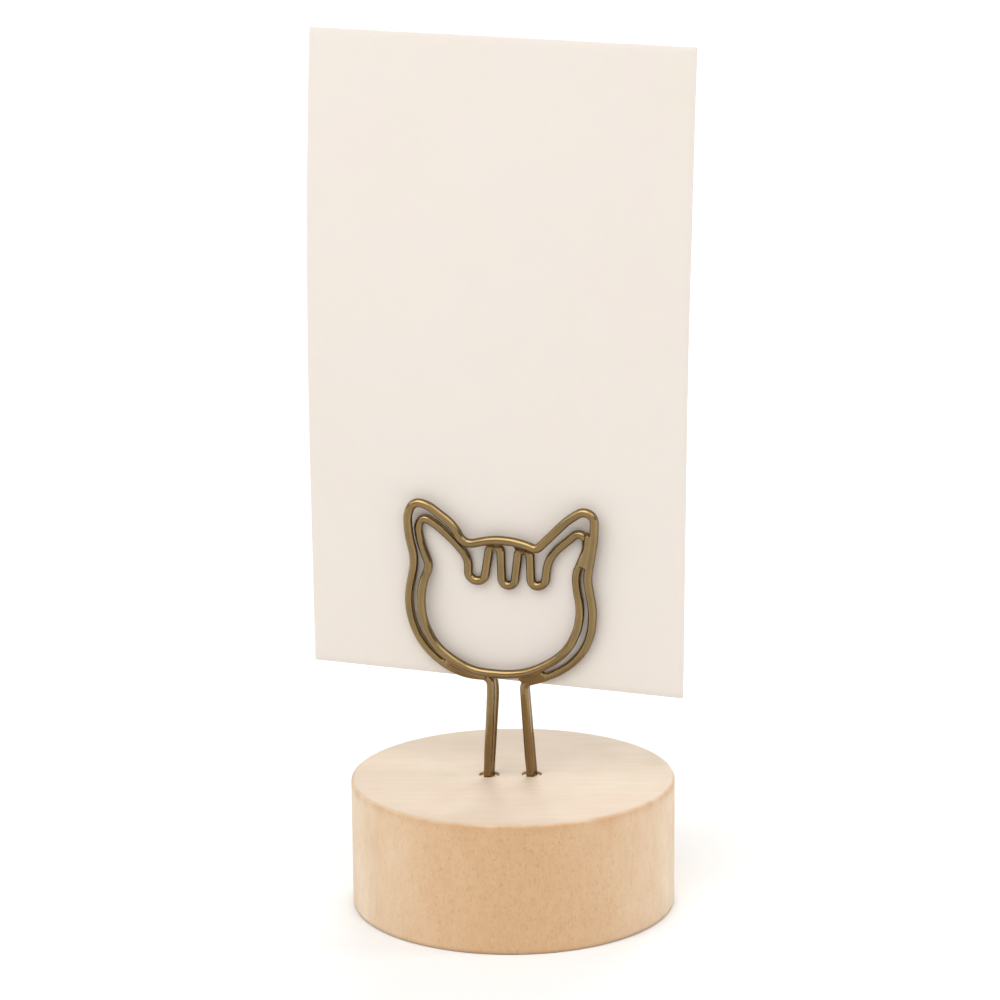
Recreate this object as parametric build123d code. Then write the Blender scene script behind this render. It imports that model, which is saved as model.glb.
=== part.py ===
from build123d import *
import math
import os

# A small round wooden block with a spring clip of bent brass wire that grips a card upright.
# Millimetres. Z is up, the card faces -Y, and the origin is the middle of the block's underside.

# Wooden block
block_diameter = 46.0
block_height = 18.5
top_rim_rounding = 0.5
bottom_rim_rounding = 0.4

# Wire
wire_diameter = 1.2
leg_bend_height = 0.4
leg_bend_radius = 4.0
layer_step = 0.88

# Two blind holes drilled down into the block, each just wide enough for a pair of wire legs
leg_pair_gap = 0.22
leg_wall_gap = 0.115
leg_end_clearance = 0.5
hole_depth = 7.5
hole_spacing = 6.04
hole_pair_offset = 0.35
hole_pair_twist_deg = 16.7
drill_point_deg = 118.0

# Glue in the top of the holes, round the legs
glue_recess = 0.35
glue_height = 4.0
bond_clearance = 0.02
flex_clearance = 0.05

# Clip head, drawn on a plane that leans forward from the top of the block
head_width = 27.0
head_height = 25.0
head_bottom = 15.0
head_lean_deg = 6.4

# Card
card_width = 54.0
card_height = 90.0
card_thickness = 0.3
card_grip_clearance = 0.05
card_bottom = 14.5
card_offset = 1.5
card_roll_deg = 2.1
card_left_curl = 4.9
card_right_curl = 2.5
curl_start_share = 0.32

# How much of the shorter run beside a corner its bend takes up
bend_share = 0.49

# Corners of the front wire, from its left leg round to its right leg: the place across as a share
# of head_width, the place up as a share of head_height, and the layer. Layer 0 lies on the card and
# layer 1 lies one layer_step in front of it. It goes once round the head, over both ears.
front_corner_shares = [
    (-0.075, -0.085, 0.00),
    (-0.076, 0.003, 0.00),
    (-0.235, 0.009, 0.00),
    (-0.383, 0.103, 0.00),
    (-0.478, 0.251, 0.00),
    (-0.508, 0.436, 0.00),
    (-0.449, 0.684, 0.50),
    (-0.473, 0.833, 1.00),
    (-0.475, 0.957, 1.00),
    (-0.436, 1.032, 1.00),
    (-0.363, 1.017, 1.00),
    (-0.226, 0.905, 1.00),
    (-0.177, 0.791, 1.00),
    (-0.030, 0.832, 1.00),
    (0.083, 0.829, 1.00),
    (0.167, 0.806, 1.00),
    (0.209, 0.786, 1.00),
    (0.380, 0.970, 1.00),
    (0.463, 1.027, 1.00),
    (0.521, 0.997, 1.00),
    (0.516, 0.876, 0.90),
    (0.471, 0.633, 0.75),
    (0.480, 0.552, 0.70),
    (0.493, 0.447, 0.50),
    (0.479, 0.311, 0.25),
    (0.435, 0.197, 0.10),
    (0.339, 0.086, 0.00),
    (0.211, 0.016, 0.00),
    (0.106, -0.019, 0.00),
    (0.105, -0.090, 0.00),
]

# Corners of the closed ring of wire inside the front wire, with the forelock's three loops at its
# top, starting at the top left of the middle loop
ring_corner_shares = [
    (-0.048, 0.786, 0.00),
    (0.010, 0.782, 0.00),
    (0.009, 0.556, 0.00),
    (0.075, 0.556, 0.00),
    (0.106, 0.773, 0.00),
    (0.166, 0.768, 0.00),
    (0.164, 0.557, 0.00),
    (0.240, 0.568, 0.00),
    (0.262, 0.739, 0.00),
    (0.418, 0.884, 0.00),
    (0.464, 0.871, 0.00),
    (0.467, 0.802, 0.00),
    (0.405, 0.643, 0.00),
    (0.408, 0.562, 0.15),
    (0.427, 0.456, 0.40),
    (0.415, 0.337, 0.70),
    (0.359, 0.213, 1.00),
    (0.274, 0.130, 1.00),
    (0.150, 0.059, 1.00),
    (0.035, 0.035, 1.00),
    (-0.141, 0.039, 1.00),
    (-0.253, 0.091, 1.00),
    (-0.359, 0.181, 1.00),
    (-0.420, 0.328, 1.00),
    (-0.427, 0.463, 0.90),
    (-0.406, 0.574, 0.75),
    (-0.371, 0.650, 0.50),
    (-0.419, 0.782, 0.15),
    (-0.434, 0.880, 0.00),
    (-0.400, 0.934, 0.00),
    (-0.329, 0.891, 0.00),
    (-0.217, 0.778, 0.00),
    (-0.163, 0.695, 0.00),
    (-0.175, 0.583, 0.00),
    (-0.087, 0.565, 0.00),
]

# Corners of the rear wire, one plain turn of the same head behind the card
rear_corner_shares = [
    (-0.070, -0.093, 0.00),
    (-0.083, 0.021, 0.00),
    (-0.233, 0.040, 0.00),
    (-0.380, 0.120, 0.00),
    (-0.470, 0.262, 0.00),
    (-0.500, 0.432, 0.00),
    (-0.450, 0.680, 0.00),
    (-0.482, 0.850, 0.00),
    (-0.484, 0.980, 0.00),
    (-0.435, 1.030, 0.00),
    (-0.325, 0.960, 0.00),
    (-0.205, 0.798, 0.00),
    (-0.074, 0.830, 0.00),
    (0.022, 0.842, 0.00),
    (0.118, 0.832, 0.00),
    (0.217, 0.790, 0.00),
    (0.345, 0.960, 0.00),
    (0.445, 1.030, 0.00),
    (0.492, 0.980, 0.00),
    (0.490, 0.850, 0.00),
    (0.458, 0.680, 0.00),
    (0.500, 0.432, 0.00),
    (0.470, 0.262, 0.00),
    (0.380, 0.120, 0.00),
    (0.214, 0.040, 0.00),
    (0.095, 0.018, 0.00),
    (0.096, -0.090, 0.00),
]

# Worked out from the sizes above
wire_radius = wire_diameter / 2
near_layer = card_thickness / 2 + card_grip_clearance + wire_radius
leg_stance = leg_pair_gap / 2 + wire_radius
leg_depth = hole_depth - leg_end_clearance
hole_radius = leg_stance + wire_radius + leg_wall_gap
head_lean = math.radians(head_lean_deg)
hole_pair_twist = math.radians(hole_pair_twist_deg)

# The plane of the card and the clip head: X across, Y up the card, Z towards the viewer
face_plane = Plane(
    origin=(-hole_pair_offset, 0, block_height),
    x_dir=(1, 0, 0),
    z_dir=(0, -math.cos(head_lean), -math.sin(head_lean)),
)


def hole_centre(side):
    """The middle of one hole's mouth, with side -1 on the left and 1 on the right."""
    reach = side * hole_spacing / 2
    across = reach * math.cos(hole_pair_twist)
    back = reach * math.sin(hole_pair_twist)
    return Vector(across - hole_pair_offset, back, block_height)


def drilled_hole(side):
    """What the drill takes out: a cylinder down from the mouth, and the point below it."""
    centre = hole_centre(side)
    point_height = hole_radius / math.tan(math.radians(drill_point_deg / 2))
    bottom = Location((centre.X, centre.Y, centre.Z - hole_depth))
    shank = Cylinder(hole_radius, hole_depth, align=(Align.CENTER, Align.CENTER, Align.MIN))
    point = Cone(0, hole_radius, point_height, align=(Align.CENTER, Align.CENTER, Align.MAX))
    return bottom * (shank + point)


def leg_axis(side, front):
    """The middle of one leg at the hole's mouth: front is 1 for the front wire, -1 for the rear."""
    return hole_centre(side) + Vector(0, -front * leg_stance, 0)


def leg_bore(side, front):
    """The room in the glue for one leg, with what the leg needs to flex."""
    bore = Cylinder(
        wire_radius + flex_clearance,
        leg_depth,
        align=(Align.CENTER, Align.CENTER, Align.MAX),
    )
    return Location(tuple(leg_axis(side, front))) * bore


def wooden_block():
    """The turned block with its two rims eased and the two holes drilled."""
    block = Cylinder(
        block_diameter / 2,
        block_height,
        align=(Align.CENTER, Align.CENTER, Align.MIN),
    )
    rims = block.edges().filter_by(GeomType.CIRCLE).sort_by(Axis.Z)
    block = fillet(rims[-1], top_rim_rounding)
    rims = block.edges().filter_by(GeomType.CIRCLE).sort_by(Axis.Z)
    block = fillet(rims[0], bottom_rim_rounding)
    for side in (-1, 1):
        block -= drilled_hole(side)
    return block


def glue_plug(side):
    """The set glue just below one hole's mouth, with its two legs passing through it."""
    centre = hole_centre(side)
    top = Location((centre.X, centre.Y, centre.Z - glue_recess))
    plug = top * Cylinder(
        hole_radius - bond_clearance,
        glue_height,
        align=(Align.CENTER, Align.CENTER, Align.MAX),
    )
    for front in (1, -1):
        plug -= leg_bore(side, front)
    return plug


def head_corners(shares, front):
    """The places of a table's corners, on the card's front or rear side."""
    corners = []
    for across, height, layer in shares:
        depth = front * (near_layer + layer * layer_step)
        local = (across * head_width, head_bottom + height * head_height, depth)
        corners.append(face_plane.from_local_coords(Vector(local)))
    return corners


def bend_radius(before, corner, after):
    """The radius of the bend at a corner, as large as the runs on its two sides allow."""
    back = before - corner
    ahead = after - corner
    half_turn = (math.pi - math.radians(back.get_angle(ahead))) / 2
    return bend_share * min(back.length, ahead.length) / math.tan(half_turn)


def bent_length(corners, radii):
    """Wire swept along straight runs, with a tangent bend at each inner corner."""
    path = FilletPolyline(*corners, radius=radii)
    section = Plane(origin=path @ 0, z_dir=path % 0) * Circle(wire_radius)
    return sweep(section, path=path)


def wire_clip(shares, front):
    """One wire, from the end of its left leg round the head to the end of its right leg."""
    down = Vector(0, 0, -leg_depth)
    up = Vector(0, 0, leg_bend_height)
    left = leg_axis(-1, front)
    right = leg_axis(1, front)
    corners = [left + down, left + up] + head_corners(shares, front) + [right + up, right + down]
    head_bends = zip(corners[1:], corners[2:-2], corners[3:])
    radii = [bend_radius(*three) for three in head_bends]
    return bent_length(corners, [leg_bend_radius] + radii + [leg_bend_radius])


def wire_ring(shares, front):
    """A closed ring of wire, as two halves that meet in the middle of two straight runs."""
    corners = head_corners(shares, front)
    before = corners[-1:] + corners[:-1]
    after = corners[1:] + corners[:1]
    radii = [bend_radius(*three) for three in zip(before, corners, after)]
    half = len(corners) // 2
    start = (corners[-1] + corners[0]) / 2
    middle = (corners[half - 1] + corners[half]) / 2
    first = bent_length([start] + corners[:half] + [middle], radii[:half])
    second = bent_length([middle] + corners[half:] + [start], radii[half:])
    return first + second


def card_edge(card_plane, side, curl):
    """The card's section at one upright edge: straight in the clip, then curling back by curl."""
    origin = card_plane.from_local_coords(Vector(side * card_width / 2, 0, 0))
    edge_plane = Plane(origin=origin, x_dir=card_plane.y_dir, z_dir=card_plane.x_dir)
    straight = card_height * curl_start_share
    half = card_thickness / 2
    front_line = Line((0, half), (straight, half))
    front_bend = TangentArc((straight, half), (card_height, half - curl), tangent=(1, 0))
    rear_line = Line((0, -half), (straight, -half))
    rear_bend = TangentArc((straight, -half), (card_height, -half - curl), tangent=(1, 0))
    top_end = Line(front_bend @ 1, rear_bend @ 1)
    bottom_end = Line(front_line @ 0, rear_line @ 0)
    outline = front_line + front_bend + top_end + rear_bend + rear_line + bottom_end
    return edge_plane * make_face(outline)


def card():
    """The card, a little askew in the clip, with its top curling back more on the left."""
    roll = math.radians(-card_roll_deg)
    across = face_plane.x_dir * math.cos(roll) + face_plane.y_dir * math.sin(roll)
    origin = face_plane.from_local_coords(Vector(-card_offset, card_bottom, 0))
    card_plane = Plane(origin=origin, x_dir=across, z_dir=face_plane.z_dir)
    left = card_edge(card_plane, -1, card_left_curl)
    right = card_edge(card_plane, 1, card_right_curl)
    return loft([left, right], ruled=True)


os.makedirs("parts", exist_ok=True)
nodes = {
    "wooden_block": wooden_block(),
    "front_wire_clip": wire_clip(front_corner_shares, 1),
    "front_inner_ring": wire_ring(ring_corner_shares, 1),
    "rear_wire_clip": wire_clip(rear_corner_shares, -1),
    "display_card": card(),
    "left_glue_plug": glue_plug(-1),
    "right_glue_plug": glue_plug(1),
}
for name, shape in nodes.items():
    export_step(shape, f"parts/{name}.step")
    print(name, round(shape.volume, 2))
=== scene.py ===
import math

import bmesh
import bpy
from bpy.props import FloatProperty, FloatVectorProperty, IntProperty, PointerProperty
from mathutils import Matrix, Vector


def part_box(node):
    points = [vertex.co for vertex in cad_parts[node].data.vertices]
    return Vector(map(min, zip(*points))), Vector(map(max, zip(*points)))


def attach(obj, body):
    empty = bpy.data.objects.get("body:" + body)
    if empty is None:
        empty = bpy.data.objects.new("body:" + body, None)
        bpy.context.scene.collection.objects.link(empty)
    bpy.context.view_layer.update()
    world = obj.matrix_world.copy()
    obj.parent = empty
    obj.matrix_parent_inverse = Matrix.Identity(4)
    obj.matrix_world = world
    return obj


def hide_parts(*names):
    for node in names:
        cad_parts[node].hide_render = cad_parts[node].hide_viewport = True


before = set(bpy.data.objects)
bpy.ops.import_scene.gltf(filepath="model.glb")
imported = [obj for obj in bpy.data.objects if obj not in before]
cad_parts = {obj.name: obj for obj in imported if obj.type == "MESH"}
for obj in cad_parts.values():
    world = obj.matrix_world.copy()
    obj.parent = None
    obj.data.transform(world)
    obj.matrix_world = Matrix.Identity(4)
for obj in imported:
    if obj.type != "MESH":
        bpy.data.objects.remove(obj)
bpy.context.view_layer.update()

bl_info = {
    "name": "Wire Clip Photo Block",
    "version": (1, 0, 0),
    "blender": (4, 5, 0),
    "location": "3D View > Sidebar > Photo Block",
    "description": "A turned wooden block with two bent brass wires that grip a blank card",
    "category": "Add Mesh",
}

MM = 0.001

# How near two places lie to count as one: when picking by place, merging doubles, and at a vertex
NEAR = 0.01 * MM
MERGE = 0.001 * MM
SAME_VERTEX = 0.0001 * MM

# The block, measured from the frame, and how finely its section and its rims are drawn
block_low, block_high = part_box("wooden_block")
block_radius = (block_high.x - block_low.x) / 2
block_height = block_high.z - block_low.z
SECTION_ROW = 0.55 * MM
TOP_RIM_STEPS = 7
FOOT_RIM_STEPS = 5
SANDING_GRAIN = 3.5 * MM
SANDING_DEPTH = 0.04 * MM

# The drill: its point's half angle, how many sides it has, and how squarely its end faces lie
DRILL_POINT = math.radians(59)
DRILL_SIDES = 48
END_FACING = 0.9

# The clip leans forward from the top of the block and stands a little left of its middle
CLIP_OFFSET = 0.35 * MM
CLIP_LEAN = math.radians(6.4)
HOLE_SPACING = 6.04 * MM
HOLE_TWIST = math.radians(16.7)
HEAD_WIDTH = 27.0 * MM
HEAD_HEIGHT = 25.0 * MM
HEAD_BOTTOM = 15.0 * MM
LAYER_STEP = 0.88 * MM
CARD_GRIP_CLEARANCE = 0.05 * MM
LEG_STANCE = 0.71 * MM
LEG_DEPTH = 7.0 * MM
LEG_BEND_HEIGHT = 0.4 * MM
LEG_BEND_RADIUS = 4.0 * MM
BEND_SHARE = 0.49
ARC_HANDLE_SHARE = 4 / 3
WIRE_ARC_STEPS = 8
WIRE_ROUND_STEPS = 6

# Corners of the front wire, from its left leg round to its right leg: across as a share of
# HEAD_WIDTH, up as a share of HEAD_HEIGHT, and the layer. Layer 0 lies on the card and layer 1
# lies one LAYER_STEP in front of it.
FRONT_CORNER_SHARES = [
    (-0.075, -0.085, 0.00),
    (-0.076, 0.003, 0.00),
    (-0.235, 0.009, 0.00),
    (-0.383, 0.103, 0.00),
    (-0.478, 0.251, 0.00),
    (-0.508, 0.436, 0.00),
    (-0.449, 0.684, 0.50),
    (-0.473, 0.833, 1.00),
    (-0.475, 0.957, 1.00),
    (-0.436, 1.032, 1.00),
    (-0.363, 1.017, 1.00),
    (-0.226, 0.905, 1.00),
    (-0.177, 0.791, 1.00),
    (-0.030, 0.832, 1.00),
    (0.083, 0.829, 1.00),
    (0.167, 0.806, 1.00),
    (0.209, 0.786, 1.00),
    (0.380, 0.970, 1.00),
    (0.463, 1.027, 1.00),
    (0.521, 0.997, 1.00),
    (0.516, 0.876, 0.90),
    (0.471, 0.633, 0.75),
    (0.480, 0.552, 0.70),
    (0.493, 0.447, 0.50),
    (0.479, 0.311, 0.25),
    (0.435, 0.197, 0.10),
    (0.339, 0.086, 0.00),
    (0.211, 0.016, 0.00),
    (0.106, -0.019, 0.00),
    (0.105, -0.090, 0.00),
]

# Corners of the closed ring inside the front wire, with the forelock's three loops at its top
RING_CORNER_SHARES = [
    (-0.048, 0.786, 0.00),
    (0.010, 0.782, 0.00),
    (0.009, 0.556, 0.00),
    (0.075, 0.556, 0.00),
    (0.106, 0.773, 0.00),
    (0.166, 0.768, 0.00),
    (0.164, 0.557, 0.00),
    (0.240, 0.568, 0.00),
    (0.262, 0.739, 0.00),
    (0.418, 0.884, 0.00),
    (0.464, 0.871, 0.00),
    (0.467, 0.802, 0.00),
    (0.405, 0.643, 0.00),
    (0.408, 0.562, 0.15),
    (0.427, 0.456, 0.40),
    (0.415, 0.337, 0.70),
    (0.359, 0.213, 1.00),
    (0.274, 0.130, 1.00),
    (0.150, 0.059, 1.00),
    (0.035, 0.035, 1.00),
    (-0.141, 0.039, 1.00),
    (-0.253, 0.091, 1.00),
    (-0.359, 0.181, 1.00),
    (-0.420, 0.328, 1.00),
    (-0.427, 0.463, 0.90),
    (-0.406, 0.574, 0.75),
    (-0.371, 0.650, 0.50),
    (-0.419, 0.782, 0.15),
    (-0.434, 0.880, 0.00),
    (-0.400, 0.934, 0.00),
    (-0.329, 0.891, 0.00),
    (-0.217, 0.778, 0.00),
    (-0.163, 0.695, 0.00),
    (-0.175, 0.583, 0.00),
    (-0.087, 0.565, 0.00),
]

# Corners of the rear wire, one plain turn of the same head behind the card
REAR_CORNER_SHARES = [
    (-0.070, -0.093, 0.00),
    (-0.083, 0.021, 0.00),
    (-0.233, 0.040, 0.00),
    (-0.380, 0.120, 0.00),
    (-0.470, 0.262, 0.00),
    (-0.500, 0.432, 0.00),
    (-0.450, 0.680, 0.00),
    (-0.482, 0.850, 0.00),
    (-0.484, 0.980, 0.00),
    (-0.435, 1.030, 0.00),
    (-0.325, 0.960, 0.00),
    (-0.205, 0.798, 0.00),
    (-0.074, 0.830, 0.00),
    (0.022, 0.842, 0.00),
    (0.118, 0.832, 0.00),
    (0.217, 0.790, 0.00),
    (0.345, 0.960, 0.00),
    (0.445, 1.030, 0.00),
    (0.492, 0.980, 0.00),
    (0.490, 0.850, 0.00),
    (0.458, 0.680, 0.00),
    (0.500, 0.432, 0.00),
    (0.470, 0.262, 0.00),
    (0.380, 0.120, 0.00),
    (0.214, 0.040, 0.00),
    (0.095, 0.018, 0.00),
    (0.096, -0.090, 0.00),
]

# Beads of solder between the front wire and the ring: the radius, and the corners of the seam,
# which are two at the brow, two side by side at the right cheek, and two under the chin
SOLDER_BEADS = [
    (0.54 * MM, [
        (-0.064, 0.803, 0.50),
        (-0.050, 0.807, 0.50),
        (0.014, 0.806, 0.50),
        (0.030, 0.802, 0.50),
    ]),
    (0.54 * MM, [
        (0.086, 0.797, 0.50),
        (0.100, 0.797, 0.50),
        (0.172, 0.784, 0.50),
        (0.188, 0.777, 0.50),
    ]),
    (0.64 * MM, [
        (0.489, 0.888, 0.58),
        (0.486, 0.868, 0.56),
        (0.480, 0.815, 0.48),
        (0.464, 0.745, 0.42),
        (0.455, 0.712, 0.40),
        (0.450, 0.692, 0.39),
    ]),
    (0.54 * MM, [
        (0.464, 0.892, 0.26),
        (0.473, 0.872, 0.30),
        (0.470, 0.810, 0.30),
        (0.440, 0.728, 0.27),
        (0.428, 0.698, 0.24),
    ]),
    (0.60 * MM, [
        (-0.312, 0.100, 0.50),
        (-0.292, 0.084, 0.50),
        (-0.215, 0.042, 0.50),
        (-0.120, 0.024, 0.50),
        (-0.090, 0.020, 0.50),
    ]),
    (0.58 * MM, [
        (0.084, 0.010, 0.50),
        (0.104, 0.012, 0.50),
        (0.160, 0.032, 0.50),
        (0.200, 0.050, 0.50),
        (0.216, 0.060, 0.50),
    ]),
]
BEAD_END_SHARE = 0.7

# The skin that the front wire, the ring and the solder melt into: its grid, how often it is
# smoothed all over and along the seams, how far the seams reach, and the share of faces kept
SKIN_GRID = 0.085 * MM
SKIN_SMOOTHING = 18
FLOW_SMOOTHING = 80
FLOW_REACH = 0.95 * MM
SKIN_KEEP_SHARE = 0.52

# The marks that bending leaves on the wires: their size and depth, the middle level, and the
# level that also swells the smoothed skin outwards to the wire's own thickness. The front wire
# is swelled on its head alone, from one height above the block to another, so its legs fit the glue.
BENDING_MARK_SIZE = 1.6 * MM
BENDING_MARK_DEPTH = 0.02 * MM
EVEN_LEVEL = 0.5
SWELLING_LEVEL = -2.0
SWELLING_START = 1.0 * MM
SWELLING_END = 3.0 * MM

# Nicks in the block's top rim: the angle round the block, how far below the top, width and depth
RIM_NICKS = [
    (math.radians(-115), 0.1 * MM, 0.9 * MM, 0.22 * MM),
    (math.radians(-76), 0.5 * MM, 0.8 * MM, 0.25 * MM),
    (math.radians(-43), 0.2 * MM, 0.7 * MM, 0.15 * MM),
    (math.radians(25), 0.1 * MM, 1.0 * MM, 0.20 * MM),
    (math.radians(101), 0.3 * MM, 0.8 * MM, 0.20 * MM),
    (math.radians(168), 0.2 * MM, 0.9 * MM, 0.15 * MM),
]

# The card: how many squares its grid has, its faint waves, and the bevel of its cut edge
CARD_COLUMNS = 54
CARD_ROWS = 90
CARD_WAVE_LENGTH = 18 * MM
CARD_WAVE_DEPTH = 0.25 * MM
CARD_EDGE_BEVEL = 0.04 * MM
CARD_EDGE_STEPS = 2
CARD_EDGE_ANGLE = math.radians(60)

# Above which angle between two faces an edge stays sharp
BLOCK_SHARP_ANGLE = math.radians(35)
WIRE_SHARP_ANGLE = math.radians(50)
CARD_SHARP_ANGLE = math.radians(40)

# Colours that darken another: stains for the wood's mottle, fibres and pores, and painted shade
# for the brass's front and back, underside and flanks
MOTTLE_STAIN = (0.86, 0.78, 0.70)
FIBRE_STAIN = (0.85, 0.78, 0.70)
PORE_STAIN = (0.58, 0.48, 0.38)
# Painted shade on the brass wire: its crown, its underside and, darkest, its flanks
CROWN_PAINTED_SHADE = (0.60, 0.56, 0.50)
UNDERSIDE_PAINTED_SHADE = (0.45, 0.40, 0.32)
FLANK_PAINTED_SHADE = (0.26, 0.22, 0.16)

# Heights on the block between which its side darkens below the top rim, and between which a contact
# shadow is painted at the foot
RIM_DARKENING = (16.9 * MM, 18.0 * MM)
FOOT_PAINTED_SHADOW = (0.7 * MM, 0.15 * MM)

# Which way the block's brownest side faces, square to the streaks of its top, where the side is
# painted with shade, paling with painted light towards its flanks; and which way the wires' fronts face
HEART_AZIMUTH = math.radians(16.7)
SHADED_HEART_SIDE = (math.sin(HEART_AZIMUTH), -math.cos(HEART_AZIMUTH), 0)
CLIP_FRONT = (0, -math.cos(CLIP_LEAN), -math.sin(CLIP_LEAN))

# The camera, at the photograph's viewing angle
CAMERA_AZIMUTH = math.radians(16.7)
CAMERA_ELEVATION = math.radians(12.175)
CAMERA_ROLL = math.radians(-0.569)
CAMERA_DISTANCE = 400.0 * MM
CAMERA_AIM = Vector((1.12, -8.74, 60.27)) * MM
CAMERA_LENS = 105.6
CAMERA_NEAREST = 10 * MM

# The floor, a disc far wider than the block, in metres
FLOOR_RADIUS = 6.0
FLOOR_SIDES = 96


def sky_side(azimuth, elevation):
    """The direction of a spot in the sky: its angle to the right of the front, and its height."""
    turn, rise = math.radians(azimuth), math.radians(elevation)
    return (math.sin(turn) * math.cos(rise), -math.cos(turn) * math.cos(rise), math.sin(rise))


# The sky's colour, its brightness up to a height near the floor and straight overhead, and its
# soft lights: each one's direction, how near a direction lies to it at its rim and at its full
# strength, as cosines, and its strength
SKY_COLOUR = (1.0, 0.995, 0.985, 1)
SKY_LOW = 0.22
SKY_HIGH = 0.72
SKY_LOW_RISE = 0.3
SKY_LIGHTS = [
    (sky_side(-14, 52), 0.89, 0.955, 3.0),
    (sky_side(-48, 26), 0.91, 0.97, 1.8),
    (sky_side(54, 41), 0.91, 0.97, 1.9),
    (sky_side(12, 14), 0.75, 1.0, 1.0),
]

# Each softbox: its name, where it stands, its width and height in metres, and its power in watts
SOFTBOXES = [
    ("left_softbox", (-0.60, -0.07, 0.25), (0.12, 0.60), 0.3),
    ("right_softbox", (0.60, 0.12, 0.25), (0.15, 0.60), 1.4),
    ("back_softbox", (-0.05, 0.52, 0.30), (0.40, 0.30), 2.4),
]
SOFTBOX_COLOUR = (1.0, 0.98, 0.96)
LIGHT_AIM = Vector((0, 0, 0.045))


class PhotoBlockSizes(bpy.types.PropertyGroup):
    """The sizes that a user would change"""

    rim_rounding: FloatProperty(
        name="Rim rounding",
        description="Radius of the block's eased top rim",
        default=0.5 * MM,
        min=0.1 * MM,
        unit="LENGTH",
    )
    foot_rounding: FloatProperty(
        name="Foot rounding",
        description="Radius of the block's eased bottom rim",
        default=0.4 * MM,
        min=0.1 * MM,
        unit="LENGTH",
    )
    turning_steps: IntProperty(
        name="Turning steps",
        description="How many steps the block's half section is turned in",
        default=240,
        min=48,
    )
    hole_diameter: FloatProperty(
        name="Hole diameter",
        description="Diameter of the two drilled holes",
        default=2.85 * MM,
        unit="LENGTH",
    )
    hole_depth: FloatProperty(
        name="Hole depth",
        description="Depth of the two drilled holes to the start of the drill's point",
        default=7.5 * MM,
        unit="LENGTH",
    )
    hole_break: FloatProperty(
        name="Hole edge break",
        description="Width of the worn edge at each hole's mouth",
        default=0.10 * MM,
        unit="LENGTH",
    )
    wire_diameter: FloatProperty(
        name="Wire diameter",
        description="Diameter of the brass wire",
        default=1.2 * MM,
        unit="LENGTH",
    )
    card_width: FloatProperty(
        name="Card width",
        description="Width of the card",
        default=54.0 * MM,
        unit="LENGTH",
    )
    card_height: FloatProperty(
        name="Card height",
        description="Height of the card",
        default=90.0 * MM,
        unit="LENGTH",
    )
    card_thickness: FloatProperty(
        name="Card thickness",
        description="Thickness of the card",
        default=0.3 * MM,
        unit="LENGTH",
    )
    card_bottom: FloatProperty(
        name="Card bottom",
        description="Height of the card's lower edge above the block, along the clip",
        default=14.5 * MM,
        unit="LENGTH",
    )
    card_offset: FloatProperty(
        name="Card offset",
        description="How far the card's middle lies left of the clip's middle",
        default=1.5 * MM,
        unit="LENGTH",
    )
    card_roll: FloatProperty(
        name="Card roll",
        description="How far the card is turned askew in the clip",
        default=math.radians(2.1),
        subtype="ANGLE",
    )
    left_curl: FloatProperty(
        name="Left curl",
        description="How far the card's top left corner curls back",
        default=4.9 * MM,
        unit="LENGTH",
    )
    right_curl: FloatProperty(
        name="Right curl",
        description="How far the card's top right corner curls back",
        default=2.5 * MM,
        unit="LENGTH",
    )
    curl_start_share: FloatProperty(
        name="Curl start",
        description="Share of the card's height at which it begins to curl",
        default=0.32,
        min=0.0,
        max=0.9,
        subtype="FACTOR",
    )


class PhotoBlockColours(bpy.types.PropertyGroup):
    """The colours that a user would change"""

    top_grain: FloatVectorProperty(
        name="Top grain",
        description="Colour of the block's sanded top and underside",
        default=(0.495, 0.403, 0.310),
        subtype="COLOR",
    )
    # Brown grain with painted shade, where the turned side faces the front
    shaded_heart_grain: FloatVectorProperty(
        name="Shaded heart grain",
        description="Colour of the block's turned side where it is brownest",
        default=(0.518, 0.333, 0.182),
        subtype="COLOR",
    )
    # Pale grain with painted light, towards the turned side's flanks
    lit_flank_grain: FloatVectorProperty(
        name="Lit flank grain",
        description="Colour of the block's turned side where it is palest",
        default=(0.694, 0.572, 0.432),
        subtype="COLOR",
    )
    brass: FloatVectorProperty(
        name="Brass",
        description="Colour of the aged brass wire",
        default=(0.255, 0.164, 0.048),
        subtype="COLOR",
    )
    card: FloatVectorProperty(
        name="Card",
        description="Colour of the uncoated card",
        default=(0.645, 0.596, 0.550),
        subtype="COLOR",
    )
    glue: FloatVectorProperty(
        name="Glue",
        description="Colour of the set glue",
        default=(0.58, 0.38, 0.21),
        subtype="COLOR",
    )
    floor: FloatVectorProperty(
        name="Floor",
        description="Colour of the plain floor",
        default=(0.96, 0.96, 0.96),
        subtype="COLOR",
    )


def select_only(piece):
    """Deselect everything, then select one object and make it active."""
    bpy.ops.object.select_all(action="DESELECT")
    piece.select_set(True)
    bpy.context.view_layer.objects.active = piece


def new_piece(name):
    """Give the object that an operator has just added its name, and return it."""
    piece = bpy.context.object
    piece.name = name
    piece.data.name = name
    return piece


def place(piece):
    """Put a piece's place, turn and scale into its mesh."""
    select_only(piece)
    bpy.ops.object.transform_apply(location=True, rotation=True, scale=True)


def edit(piece, mode="VERT"):
    """Open a piece in edit mode with nothing selected."""
    select_only(piece)
    bpy.ops.object.mode_set(mode="EDIT")
    bpy.ops.mesh.select_mode(type=mode)
    bpy.ops.mesh.select_all(action="DESELECT")


def pick_vertices(piece, test):
    """In edit mode, select only the vertices whose place passes a test."""
    shape = bmesh.from_edit_mesh(piece.data)
    for vertex in shape.verts:
        vertex.select = test(vertex.co)
    shape.select_flush_mode()
    bmesh.update_edit_mesh(piece.data)


def pick_edges(piece, test):
    """In edit mode, select only the edges whose two ends both pass a test."""
    shape = bmesh.from_edit_mesh(piece.data)
    for face in shape.faces:
        face.select = False
    for edge in shape.edges:
        edge.select = all(test(vertex.co) for vertex in edge.verts)
    shape.select_flush_mode()
    bmesh.update_edit_mesh(piece.data)


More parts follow.
